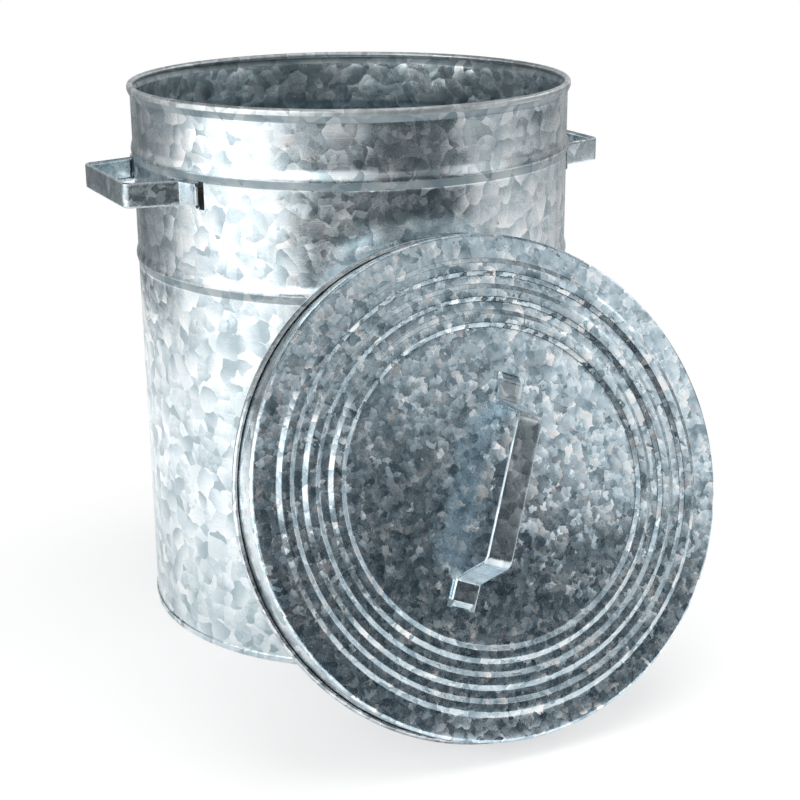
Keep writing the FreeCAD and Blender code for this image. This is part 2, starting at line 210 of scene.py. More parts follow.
def spunPiece(name, face, thickness, angles, materials, rowGroup=None, opened=None, raised=None,
              moved=None, place=None):
    # sheet spun round Z. face is one side of it, and the other lies to its left. raised and moved
    # push points out and sideways, and opened says where the holes are.
    other = face + leftOf(face) * thickness
    rows, columns = len(face), len(angles)
    turns = np.radians(angles)
    lift = np.zeros((rows, columns)) if raised is None else raised(face, angles)
    push = (0, 0) if moved is None else moved(face, angles)
    sides = []
    for line, extra in ((face, lift), (other, lift * 0)):
        radius = line[:, 0][:, None] + extra
        sides.append(np.stack([radius * np.cos(turns) + push[0], radius * np.sin(turns) + push[1],
                               np.repeat(line[:, 1][:, None], columns, axis=1)], axis=2).reshape(-1, 3))
    verts = np.vstack(sides)
    across = np.append(turns, turns[0] + 2 * math.pi) * unrollRadius
    down = alongLine(face)
    half = rows * columns
    isOpen = np.zeros((rows - 1, columns), bool) if opened is None else opened(face, angles)
    faces, uvs, groups = [], [], []

    def quad(corners, row, column, group):
        faces.append(corners)
        groups.append(group)
        for dr, dc in ((0, 0), (0, 1), (1, 1), (1, 0)):
            uvs.append((across[column + dc], down[row + dr]))

    for row in range(rows - 1):
        group = rowGroup(face[row], face[row + 1]) if rowGroup else 0
        for column in range(columns):
            after = (column + 1) % columns
            a, b = row * columns + column, row * columns + after
            c, d = b + columns, a + columns
            if not isOpen[row, column]:
                quad((a, b, c, d), row, column, group)
                quad((a + half, d + half, c + half, b + half), row, column, group)
                continue
            # a hole gets a wall of its own wherever solid sheet is next to it
            for first, second, beside in ((a, d, (row, column - 1)), (b, c, (row, after)),
                                          (a, b, (row - 1, column)), (d, c, (row + 1, column))):
                if not isOpen[beside]:
                    quad((first, second, second + half, first + half), row, column, group)
    for row in (0, rows - 1):  # the sheet's two raw edges
        if face[row, 0] < tiny:
            continue
        group = rowGroup(face[max(row - 1, 0)], face[max(row, 1)]) if rowGroup else 0
        for column in range(columns):
            a = row * columns + column
            b = row * columns + (column + 1) % columns
            quad((a, b, b + half, a + half), min(row, rows - 2), column, group)
    return makePiece(name, verts, faces, uvs, groups, materials, place)


def sweptPiece(name, outline, path, materials, place=None, ringGroup=None, taper=None):
    # a closed outline of (out, up) carried along a level path; out is to the right of the path
    right = -leftOf(path)
    distance = alongLine(path)
    count, rings = len(outline), len(path)
    verts = []
    for index in range(rings):
        shrink = 1.0 if taper is None else taper(distance[index], distance[-1])
        for out, up in outline:
            spot = path[index] + right[index] * out
            verts.append((spot[0], spot[1], up * shrink))
    around = alongLine(np.vstack([outline, outline[:1]]))
    faces, uvs, groups = [], [], []
    for index in range(rings - 1):
        group = ringGroup(distance[index]) if ringGroup else 0
        for k in range(count):
            a, b = index * count + k, index * count + (k + 1) % count
            faces.append((a, b, b + count, a + count))
            uvs += [(distance[index], around[k]), (distance[index], around[k + 1]),
                    (distance[index + 1], around[k + 1]), (distance[index + 1], around[k])]
            groups.append(group)
    for ring, end, flip in ((0, 0, 1), (rings - 1, -1, -1)):  # the two end faces
        faces.append(tuple(ring * count + k for k in range(count))[::flip])
        uvs += [(distance[end] + out, up) for out, up in outline][::flip]
        groups.append(groups[end])
    return makePiece(name, verts, faces, uvs, groups, materials, place)


def columnsWith(count, extras):
    # evenly spaced angles, with the extra ones put in and near neighbours left out
    extras = sorted(angle % 360 for angle in extras)
    kept = [angle for angle in np.linspace(0, 360, count, endpoint=False)
            if all(abs((angle - e + 180) % 360 - 180) > nearestColumn for e in extras)]
    return np.array(sorted(kept + extras))


def joinPieces(name, pieces):
    bpy.ops.object.select_all(action="DESELECT")
    for piece in pieces:
        piece.select_set(True)
    bpy.context.view_layer.objects.active = pieces[0]
    bpy.ops.object.join()
    pieces[0].name = name
    return pieces[0]


# finishes

# One finish serves every piece: zinc crystals with their own size, tones and gloss on each kind of
# sheet. size, warpSize and warp are in metres, grain is in lines per metre each way, and grainDepth
# and wave are in millimetres. tones are stops of (place, red, green, blue).
bodyLook = {
    "size": 0.0135, "warpSize": 0.018, "warp": 0.013, "tilt": 0.05, "dome": 0.065,
    "fleck": 0.35, "flake": 0.06, "rough": 0.25, "grain": (45, 45, 1300), "grainTone": 0.20,
    "grainDepth": 0.03, "wave": 0.45, "feather": 0.20, "cloud": 0.22, "mottle": 0.10,
    "tones": [(0.0, 0.42, 0.51, 0.55), (0.35, 0.62, 0.71, 0.75), (0.6, 0.79, 0.86, 0.89),
              (1.0, 0.96, 0.98, 0.99)],
}
lidLook = {
    "size": 0.0088, "warpSize": 0.006, "warp": 0.008, "tilt": 0.08, "dome": 0.05,
    "fleck": 0.6, "flake": 0.16, "rough": 0.26, "grain": (260, 260, 260), "grainTone": 0.06,
    "grainDepth": 0.03, "wave": 0.7, "feather": 0.34, "cloud": 0.20, "mottle": 0.16,
    "tones": [(0.0, 0.31, 0.41, 0.47), (0.3, 0.52, 0.65, 0.73), (0.6, 0.71, 0.83, 0.90),
              (0.78, 0.89, 0.96, 0.99), (1.0, 1.0, 1.0, 1.0)],
}
strapLook = {
    "size": 0.010, "warpSize": 0.012, "warp": 0.006, "tilt": 0.07, "dome": 0.05,
    "fleck": 0.3, "flake": 0.05, "rough": 0.27, "grain": (700, 700, 90), "grainTone": 0.05,
    "grainDepth": 0.02, "wave": 0.25, "feather": 0.16, "cloud": 0.25, "mottle": 0.12,
    "tones": [(0.0, 0.42, 0.49, 0.53), (0.5, 0.60, 0.68, 0.72), (1.0, 0.80, 0.87, 0.90)],
}
rimLook = {
    "size": 0.009, "warpSize": 0.012, "warp": 0.006, "tilt": 0.05, "dome": 0.04,
    "fleck": 0.3, "flake": 0.03, "rough": 0.40, "grain": (200, 200, 900), "grainTone": 0.06,
    "grainDepth": 0.02, "wave": 0.2, "feather": 0.12, "cloud": 0.2, "mottle": 0.16,
    "tones": [(0.0, 0.46, 0.49, 0.50), (0.5, 0.66, 0.71, 0.73), (1.0, 0.86, 0.91, 0.92)],
}
curlLook = {
    "size": 0.008, "warpSize": 0.004, "warp": 0.004, "tilt": 0.08, "dome": 0.06,
    "fleck": 0.6, "flake": 0.05, "rough": 0.24, "grain": (300, 300, 300), "grainTone": 0.10,
    "grainDepth": 0.04, "wave": 0.5, "feather": 0.2, "cloud": 0.3, "mottle": 0.2,
    "tones": [(0.0, 0.34, 0.38, 0.41), (0.5, 0.62, 0.67, 0.70), (1.0, 0.90, 0.93, 0.94)],
}
# the undersides of the beads and the step: rougher zinc, with its tones darkened as painted shade
roughPaintedShadeLook = dict(bodyLook, rough=0.55, tones=[
    (0.0, 0.23, 0.29, 0.32), (0.35, 0.33, 0.39, 0.42), (0.6, 0.43, 0.48, 0.50), (1.0, 0.56, 0.59, 0.60)])
# the outer slopes of the lid's ridges: a little rougher, with tones darkened as painted shade
ridgeSlopePaintedShadeLook = dict(lidLook, rough=0.28, tones=[
    (0.0, 0.25, 0.32, 0.36), (0.3, 0.43, 0.52, 0.57), (0.6, 0.59, 0.67, 0.71), (0.78, 0.74, 0.78, 0.80),
    (1.0, 0.83, 0.83, 0.83)])
skirtLook = dict(bodyLook, size=0.018, tilt=0.06, dome=0.04, fleck=0.1, grainTone=0.05, wave=0.3)
wireLook = dict(rimLook, size=0.004)
# the part of each tongue down in its slot: near-black, as painted shade
tonguePaintedShadeLook = dict(strapLook, rough=0.6, tones=[
    (0.0, 0.010, 0.011, 0.012), (0.7, 0.028, 0.026, 0.025), (1.0, 0.06, 0.045, 0.035)])

# what every zinc finish shares. Each noise is (scale, detail, roughness).
zinc = {
    "bigSeed": 0.13, "smallSeed": 0.71, "seedWay": (1, 0.7, 1.3), "wobbleDetail": 2.0,
    "smallSize": 0.5, "smallWarpSize": 0.6, "smallWarp": 0.7,  # small crystals as shares of big ones
    "streakWay": (0.31, 0.74, 0.59), "streaks": 16, "streakLength": 2.5, "streakSplit": 40,
    "patchFrom": 0.45, "patchTo": 0.6, "flakeFrom": 0.66, "flakeTo": 0.74, "flakeTilt": 0.3,
    "bigTone": (0.5, 1.5, 0.25), "smallTone": (0.6, 1.3, 0.2),  # shares of chance and slope, and a base
    "smallFeather": 0.6, "featherDepth": 0.01, "mottleDepth": 0.004,  # depths in millimetres
    "featherNoise": (1.0, 2.0, 0.5), "mottleNoise": (900.0, 4.0, 0.65), "cloudNoise": (9.0, 3.0, 0.5),
    "lineNoise": (1.0, 3.0, 0.6), "swellNoise": (14.0, 1.5, 0.5),
    "chanceRough": 0.10, "mottleRough": 0.16, "featherRough": 0.12,
}


def spangle(finish, spot, size, warpSize, warpBy, seed):
    # one layer of zinc crystals: a random tone in each, shading and feathering across each, and a tilt
    centre = (0.5, 0.5, 0.5)  # of a random colour
    shifted = finish.vector("ADD", spot, tuple(seed * way for way in zinc["seedWay"]))
    wobble = finish.noise(shifted, 1 / warpSize, zinc["wobbleDetail"], output="Color")
    wobble = finish.vector("SUBTRACT", wobble, centre)
    warped = finish.vector("ADD", shifted, finish.vector("SCALE", wobble, scale=warpBy))
    cells = finish.add("ShaderNodeTexVoronoi", {"voronoi_dimensions": "3D", "feature": "F1"},
                       {"Vector": warped, "Scale": 1 / size, "Randomness": 1.0}, "Color")
    chance = finish.add("ShaderNodeSeparateColor", {}, {0: cells})
    offset = finish.vector("SUBTRACT", warped, cells["Position"])
    aim = finish.vector("SUBTRACT", cells, centre)
    slope = finish.vector("DOT_PRODUCT", offset, aim) * (1 / size)
    beside = finish.vector("CROSS_PRODUCT", aim, zinc["streakWay"])
    streak = finish.add("ShaderNodeCombineXYZ", {}, {
        "X": finish.vector("DOT_PRODUCT", offset, beside) * (zinc["streaks"] / size),
        "Y": slope * zinc["streakLength"], "Z": chance["Green"] * zinc["streakSplit"]})
    feather = finish.noise(streak, *zinc["featherNoise"])
    return {"tone": chance["Red"], "gloss": chance["Green"], "pick": chance["Blue"],
            "aim": aim, "offset": offset, "slope": slope, "feather": feather}


def crystalTone(crystals, shares):
    chance, slope, base = shares
    return crystals["tone"] * chance + crystals["slope"] * slope + base


def galvanized(name, look):
    material = bpy.data.materials.new(name)
    finish = Finish(material)
    spot = finish.add("ShaderNodeTexCoord", output="Object")
    size, warpSize, warp = look["size"], look["warpSize"], look["warp"]
    big = spangle(finish, spot, size, warpSize, warp, zinc["bigSeed"])
    small = spangle(finish, spot, size * zinc["smallSize"], warpSize * zinc["smallWarpSize"],
                    warp * zinc["smallWarp"], zinc["smallSeed"])
    mottle = finish.noise(spot, *zinc["mottleNoise"]) - 0.5
    cloud = finish.noise(spot, *zinc["cloudNoise"]) - 0.5
    lines = finish.noise(finish.vector("MULTIPLY", spot, look["grain"]), *zinc["lineNoise"]) - 0.5
    swell = finish.noise(spot, *zinc["swellNoise"])
    feather = big["feather"] - 0.5

    # tone: big crystals with patches of small ones, then feathering, mottling and the sheet's grain
    patch = finish.spread(big["pick"], zinc["patchFrom"], zinc["patchTo"]) * look["fleck"]
    level = (crystalTone(big, zinc["bigTone"]) * (1 - patch)
             + crystalTone(small, zinc["smallTone"]) * patch)
    level = level + feather * look["feather"]
    level = level + (small["feather"] - 0.5) * (look["feather"] * zinc["smallFeather"])
    level = level + mottle * look["mottle"] + cloud * look["cloud"] + lines * look["grainTone"]
    tones = [(place, (red, green, blue, 1)) for place, red, green, blue in look["tones"]]
    rough = (look["rough"] + (small["gloss"] - 0.5) * zinc["chanceRough"]
             + mottle * zinc["mottleRough"] + feather * zinc["featherRough"])

    # each crystal leans its own way and is a little domed, and the sheet has slow waves and fine lines
    flake = finish.spread(small["pick"], zinc["flakeFrom"], zinc["flakeTo"]) * look["flake"]
    normal = finish.add("ShaderNodeNewGeometry", output="Normal")
    for lean, amount in ((big["aim"], look["tilt"]), (big["offset"], look["dome"] / size),
                         (small["aim"], flake + look["tilt"] * zinc["flakeTilt"])):
        normal = finish.vector("ADD", normal, finish.vector("SCALE", lean, scale=amount))
    normal = finish.vector("NORMALIZE", normal)
    height = (lines * (look["grainDepth"] * mm) + mottle * (zinc["mottleDepth"] * mm)
              + swell * (look["wave"] * mm) + feather * (zinc["featherDepth"] * mm))
    normal = finish.add("ShaderNodeBump", {}, {"Strength": 1.0, "Distance": 1.0,
                                              "Height": height, "Normal": normal})
    shader = finish.add("ShaderNodeBsdfPrincipled", {}, {
        "Base Color": finish.ramp(level, tones), "Metallic": 1.0, "Roughness": rough, "Normal": normal})
    finish.add("ShaderNodeOutputMaterial", {}, {"Surface": shader})
    return material


bodySheet = galvanized("galvanizedBody", bodyLook)
lidSheet = galvanized("galvanizedLid", lidLook)
roughPaintedShadeSheet = galvanized("roughPaintedShadeBody", roughPaintedShadeLook)
ridgeSlopePaintedShadeSheet = galvanized("lidRidgeSlopesPaintedShade", ridgeSlopePaintedShadeLook)
strapSteel = galvanized("galvanizedStrap", strapLook)
rimSteel = galvanized("rolledRim", rimLook)
curlSteel = galvanized("rolledCurl", curlLook)
skirtSheet = galvanized("lidSkirt", skirtLook)
wireSteel = galvanized("steelWire", wireLook)
tonguePaintedShadeSteel = galvanized("shadedTongue", tonguePaintedShadeLook)
print("finishes made")


# the can's wall

can = {
    "radius": 165.0, "height": 412.0, "steel": 0.7, "bottom": 0.85,
    "beads": (283.5, 363.5), "beadWidth": 13.0, "beadRise": 1.8, "beadCrest": 9.0, "beadRoot": 12.0,
    "rim": 167.1, "rollOut": 2.2, "rollAcross": 4.6, "stepDrop": 4.0, "stepRound": 3.0, "gap": 0.3,
    "footAngle": 21.38, "footLength": 18.0, "slotLength": 20.0, "slotWidth": 5.0, "strapMiddle": 347.7,
    "seamWidth": 9.0, "seamRise": 0.8, "seamFrom": 4.8, "seamTo": 397.6,
    "seamEase": 0.3, "seamSide": 0.1,  # mm up and degrees round in which the seam rises
    # dullMore is how far below the step the rougher finish with painted shade reaches
    "beadTop": 1.0, "dullMore": 1.0, "nearRim": 0.05,  # where the finishes change
    "columns": 384, "step": 4.5,
}


def slotAngles():
    # the two edges of the slot past the end of each handle foot, in degrees
    near, far = (can["footAngle"] + math.degrees(math.atan((can["footLength"] / 2 + more) / can["radius"]))
                 for more in (0, can["slotWidth"]))
    return [(turn + min(s * near, s * far), turn + max(s * near, s * far))
            for turn in (0, 180) for s in (-1, 1)]


def makeWall():
    half = can["beadWidth"] / 2
    corners = []
    for middle in can["beads"]:
        corners += [(can["radius"], middle - half, can["beadRoot"]),
                    (can["radius"] + can["beadRise"], middle, can["beadCrest"]),
                    (can["radius"], middle + half, can["beadRoot"])]
    under = can["height"] - can["rollAcross"]
    stepTop = under - can["gap"]
    inner = can["rim"] - can["rollAcross"]
    corners += [(can["radius"], stepTop - can["stepDrop"], can["stepRound"]),
                (can["rim"], stepTop, can["stepRound"]),
                (can["rim"], can["height"], can["rollOut"]), (inner, can["height"], can["rollOut"]),
                (inner, under, can["rollOut"])]
    end = (can["rim"] - can["steel"] * 2 - can["gap"], under)
    low, high = (can["strapMiddle"] + s * can["slotLength"] / 2 for s in (-1, 1))
    ease = can["seamEase"]
    levels = (low, high, can["seamFrom"], can["seamFrom"] + ease, can["seamTo"] - ease, can["seamTo"])
    face = roundedPath((can["radius"], can["bottom"]), corners, end, can["step"], levels)
    seamHalf = math.degrees(can["seamWidth"] / 2 / can["radius"])
    seamEdges = [90 + s * (seamHalf + side) for s in (-1, 1) for side in (0, can["seamSide"])]
    slots = slotAngles()
    angles = columnsWith(can["columns"], seamEdges + [edge for slot in slots for edge in slot])

    def opened(line, turns):
        middles = (line[:-1, 1] + line[1:, 1]) / 2
        beside = (middles > low) & (middles < high)
        centre = (turns + np.append(turns[1:], turns[0] + 360)) / 2
        inPaintedShade = np.zeros(len(turns), bool)
        for a, b in slots:
            inPaintedShade |= (centre - a) % 360 < (b - a)
        return beside[:, None] & inPaintedShade[None, :]

    def raised(line, turns):
        inBand = np.abs(turns - 90) < seamHalf + can["seamSide"] / 2
        inSeam = (line[:, 1] > can["seamFrom"] + ease / 2) & (line[:, 1] < can["seamTo"] - ease / 2)
        return inSeam[:, None] * inBand[None, :] * can["seamRise"]

    def rowGroup(a, b):
        # the roll is 1, and the undersides of the step and of the beads are 2, where the zinc is rougher
        # and darker, the darker tones being painted shade
        if min(a[1], b[1]) > under - can["nearRim"]:
            return 1
        shadedBands = [(middle - half, middle - can["beadTop"]) for middle in can["beads"]]
        shadedBands.append((stepTop - can["stepDrop"] - can["dullMore"], under))
        return 2 if any(bottom < (a[1] + b[1]) / 2 < top for bottom, top in shadedBands) else 0

    wall = spunPiece("canWall", face, can["steel"], angles, [bodySheet, rimSteel, roughPaintedShadeSheet],
                     rowGroup, opened, raised)
    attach(wall, "can")
    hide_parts("can_wall")


makeWall()
print("wall made")


# the can's base, and the wires in its rim and in the lid's

base = {
    "lift": 9.0, "panelInset": 24.0, "panelRise": 2.5, "round": 3.0, "footRound": 0.9,
    "seamHeight": 4.5, "gap": 0.15, "columns": 288, "step": 7.0,
}
wire = {"radius": 1.2, "sides": 16, "columns": 180, "sideWidth": 0.5}


def makeBase():
    inside = can["radius"] - can["steel"] * 2 - base["gap"]
    outside = can["radius"] + base["gap"] + can["steel"]
    panel = inside - base["panelInset"]
    lift, rise = base["lift"], base["panelRise"]
    corners = [(panel, lift + rise, base["round"]), (panel + rise, lift, base["round"]),
               (inside - can["steel"], lift, base["round"]), (inside - can["steel"], 0, base["footRound"]),
               (outside, 0, base["footRound"])]
    face = roundedPath((0, lift + rise), corners, (outside, base["seamHeight"]), base["step"])
    angles = columnsWith(base["columns"], [])
    piece = spunPiece("canBase", face, can["steel"], angles, [bodySheet])
    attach(piece, "can")
    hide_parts("can_base")


def makeRing(name, radius, height, node, body, place=None):
    # a wire bent into a level ring
    sides, columns = wire["sides"], wire["columns"]
    turns = np.linspace(0, 2 * math.pi, sides + 1)[:-1]
    section = np.column_stack([radius + wire["radius"] * np.cos(turns),
                               height + wire["radius"] * np.sin(turns)])
    spins = np.linspace(0, 2 * math.pi, columns, endpoint=False)
    verts = [(r * math.cos(t), r * math.sin(t), z) for r, z in section for t in spins]
    faces, uvs = [], []
    for row in range(sides):
        below = (row + 1) % sides
        for column in range(columns):
            after = (column + 1) % columns
            faces.append((row * columns + column, row * columns + after,
                          below * columns + after, below * columns + column))
            for r, c in ((row, column), (row, column + 1), (row + 1, column + 1), (row + 1, column)):
                uvs.append((c * radius * 2 * math.pi / columns, r * wire["sideWidth"]))
    piece = makePiece(name, verts, faces, uvs, [0] * len(faces), [wireSteel], place)
    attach(piece, body)
    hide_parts(node)


makeBase()
makeRing("canRimWire", can["rim"] - can["rollAcross"] / 2, can["height"] - can["rollAcross"] / 2,
         "can_rim_wire", "can")
print("base and rim wire made")


# strap handles: a flat web with each edge rolled inward, and feet that lie on the sheet

strap = {
    "width": 18.0, "web": 1.0, "hem": 1.4, "gripBend": 4.0, "footBend": 4.0,
    "tongueWidth": 13.0, "tongueReach": 11.5, "tongueBack": 2.0, "tongueEdge": 0.2,
    "innerBend": 0.6, "outerBend": 0.8, "tipTaper": 0.25, "tipLength": 2.5,
    # between shadeFrom and shadeTo the tongue is painted near-black as shade
    "shadeFrom": 3.0, "shadeTo": 1.4,  # mm along the tongue, and a share of its drop, where it is dark
    "step": 2.0, "tongueStep": 1.0, "webPoints": 9, "hemPoints": 20, "innerPoints": 7,
}
sideHandle = {
    "standoff": 32.0, "gripHalf": 47.0, "footReach": 60.2, "footLength": can["footLength"],
    "drop": 5.4, "gap": 0.15,
}


def strapOutline():
    # out from the seat, where the rolled edges lie, and up across the strap
    hem = strap["hem"]
    level = strap["width"] / 2 - hem
    outside, inside = hem * 2, hem * 2 - strap["web"]
    beyond = hem - strap["web"]
    inset = math.sqrt(hem ** 2 - beyond ** 2)
    meeting = math.atan2(-inset, beyond)  # where the roll comes back to the web
    points = [(outside, y) for y in np.linspace(-level, level, strap["webPoints"])]
    for turn in np.linspace(0, 2 * math.pi + meeting, strap["hemPoints"])[1:]:
        points.append((hem + hem * math.cos(turn), level + hem * math.sin(turn)))
    points += [(inside, y) for y in np.linspace(level - inset, inset - level, strap["innerPoints"])[1:]]
    for turn in np.linspace(-meeting, 2 * math.pi, strap["hemPoints"])[1:-1]:
        points.append((hem + hem * math.cos(turn), -level + hem * math.sin(turn)))
    return np.array(points)


def mirroredPath(points):
    flipped = points[::-1] * np.array([1, -1])
    return np.vstack([flipped[:-1], points])


def strapHandle(name, seat, half, bend, tip, drop, place, node, body):
    # seat and half place the grip, and bend and tip are the two ends of a foot
    corners = [(seat, half, strap["gripBend"]), (bend[0], bend[1], strap["footBend"])]
    path = mirroredPath(roundedPath((seat, 0), corners, tip, strap["step"]))
    pieces = [sweptPiece(name, strapOutline(), path, [strapSteel], place)]
    tip, bend = np.array(tip), np.array(bend)
    ahead = (tip - bend) / np.linalg.norm(tip - bend)
    out = np.array([ahead[1], -ahead[0]])

    def spot(outward, forward):
        return tuple(tip + out * outward + ahead * forward)

    # each tongue leaves the foot's end, drops through its slot and lies on the sheet's other side
    inside, back = strap["hem"] * 2 - strap["web"], strap["tongueBack"]
    bends = [spot(inside, 0) + (strap["innerBend"],), spot(inside - drop, drop) + (strap["outerBend"],)]
    tongue = roundedPath(spot(inside, -back), bends, spot(inside - drop, strap["tongueReach"]),
                         strap["tongueStep"])
    wide, thick, edge = strap["tongueWidth"] / 2, strap["web"], strap["tongueEdge"]
    section = np.array([(edge, -wide), (thick - edge, -wide), (thick, edge - wide), (thick, wide - edge),
                        (thick - edge, wide), (edge, wide), (0, wide - edge), (0, edge - wide)])

    # the tongue's stretch inside the can's slot takes the near-black finish, which is painted shade
    def inPaintedShade(distance):
        dark = strap["shadeFrom"] < distance < back + drop * strap["shadeTo"]
        return 1 if dark and body == "can" else 0

    def narrowing(distance, total):
        past = max(0.0, (distance - total + strap["tipLength"]) / strap["tipLength"])
        return 1 - strap["tipTaper"] * past ** 2

    for sign in (1, -1):
        side, line = section * np.array([sign, 1]), tongue * np.array([1, sign])
        pieces.append(sweptPiece(name + "Tongue", side, line, [strapSteel, tonguePaintedShadeSteel], place,
                                 inPaintedShade, narrowing))
    piece = joinPieces(name, pieces)
    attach(piece, body)
    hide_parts(node)


def makeSideHandles():
    radius = can["radius"] + sideHandle["gap"]
    along = sideHandle["footReach"] / radius
    across = math.sqrt(1 - along ** 2)
    half = sideHandle["footLength"] / 2
    bend = (radius * across + half * along, radius * along - half * across)
    tip = (radius * across - half * along, radius * along + half * across)
    seat = can["radius"] + sideHandle["standoff"] - strap["hem"] * 2
    gripHalf = sideHandle["gripHalf"] - strap["hem"] * 2
    lift = Matrix.Translation((0, 0, can["strapMiddle"] * mm))
    for name, turn, node in (("handleRight", 0, "handle_right"), ("handleLeft", 180, "handle_left")):
        place = Matrix.Rotation(math.radians(turn), 4, "Z") @ lift
        strapHandle(name, seat, gripHalf, bend, tip, sideHandle["drop"], place, node, "can")


makeSideHandles()
print("side handles made")


# the lid, modelled lying flat and then leant against the can

lid = {
    "clearance": 2.1, "skirtDepth": 28.2, "edgeRound": 2.6, "crown": 3.2, "crownFlat": 34.0,
    "crownBlend": 600.0, "crownMargin": 2.0, "ridgeInset": 23.1, "ridgePitch": 17.4, "ridgeWidth": 12.0,
    "ridgeSlope": 3.2, "ridgeRise": 1.8, "ridgeRound": 1.6, "ridges": 3, "columns": 432, "step": 4.0,
    "standoff": 46.0, "gripHalf": 50.5, "footStart": 59.9, "footLength": 15.4, "drop": 4.8, "turn": 22.9,
    "along": 5.4, "across": 6.0,  # how far the handle's middle is off the lid's
    "slotLength": 20.0, "slotWidth": 5.0, "easeWidth": 16.0, "easeDepth": 0.5,  # eased round a slot
    "lean": 21.4, "side": 4.3, "leanGap": 0.3, "rollFlat": 0.2, "rollIn": 1.5,
    "nearCurl": 0.02, "curlRise": 0.6, "nearSkirt": 0.1, "steep": 0.25,  # where the finishes change
}
skirtOut = can["rim"] + lid["clearance"] + can["steel"]
rollCentre = skirtOut + can["rollAcross"] / 2 - can["steel"]
crownRadius = (skirtOut - lid["ridgeInset"] - lid["ridgePitch"] * (lid["ridges"] - 1)
               - lid["ridgeWidth"] / 2 - lid["crownMargin"])


def lidPlace():
    # leant on the can's front, with its roll on the floor
    tilt = math.radians(lid["lean"])
    roll = can["rollOut"] + lid["rollFlat"] / 2 * (math.sin(tilt) + math.cos(tilt))
    out = (can["radius"] + lid["leanGap"] + roll + rollCentre * math.sin(tilt)
           + lid["skirtDepth"] * math.cos(tilt))
    high = roll + rollCentre * math.cos(tilt) + lid["skirtDepth"] * math.sin(tilt)
    upright = Matrix.Translation((0, -out * mm, high * mm)) @ Matrix.Rotation(math.pi / 2 - tilt, 4, "X")
    return Matrix.Rotation(-math.radians(lid["side"]), 4, "Z") @ upright


def crownHeight(radius):
    return lid["crown"] * (crownRadius - radius) / (crownRadius - lid["crownFlat"])


def lidSlots():
    # each slot's middle in the lid's plane, and the way its foot points
    turn = math.radians(-lid["turn"])
    spin = np.array([[math.cos(turn), -math.sin(turn)], [math.sin(turn), math.cos(turn)]])
    reach = lid["footStart"] + lid["footLength"] + lid["slotWidth"] / 2
    slots = []
    for sign in (1, -1):
        centre = spin @ np.array([-lid["across"], sign * reach - lid["along"]])
        radius = float(np.linalg.norm(centre))
        slots.append({
            "centre": centre, "radius": radius, "out": spin @ np.array([0, sign]),
            "turn": math.degrees(math.atan2(centre[1], centre[0])),
            "spread": math.degrees(math.atan(lid["slotLength"] / 2 / radius))})
    return slots


